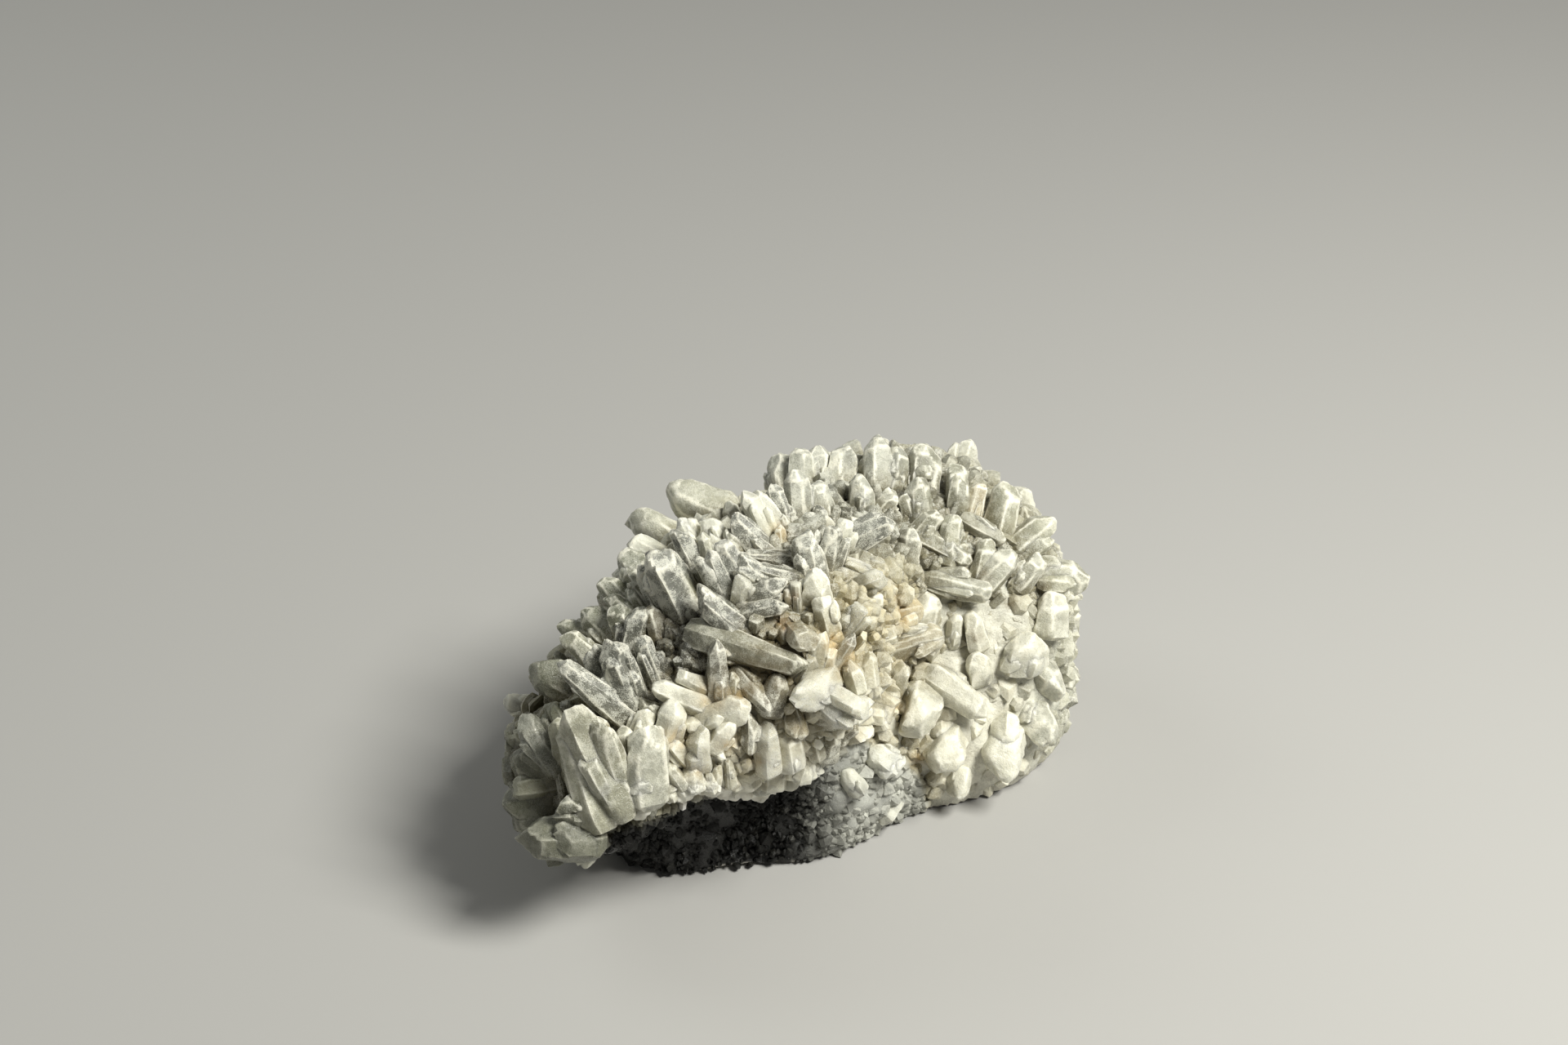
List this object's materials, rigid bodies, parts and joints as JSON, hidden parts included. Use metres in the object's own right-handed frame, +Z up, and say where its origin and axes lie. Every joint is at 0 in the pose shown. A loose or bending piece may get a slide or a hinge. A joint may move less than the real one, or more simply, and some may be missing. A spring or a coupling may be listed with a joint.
{
  "type": "quartz crystal cluster",
  "caption": "Loose cluster of milky and smoky quartz crystals on a massive quartz body with a flat underside, to display on a shelf or table.",
  "frame": {"origin": "on the flat underside, below the middle of the specimen's box", "axes": "+Z up, +X along the specimen's length from the overhanging end to the massive lobe, +Y away from the undercut side"},
  "size_m": [0.1264, 0.0743, 0.0625],
  "materials": {
    "quartz": "satin"
  },
  "bodies": {
    "root": {"quartz_cluster": "quartz"}
  },
  "joints": []
}
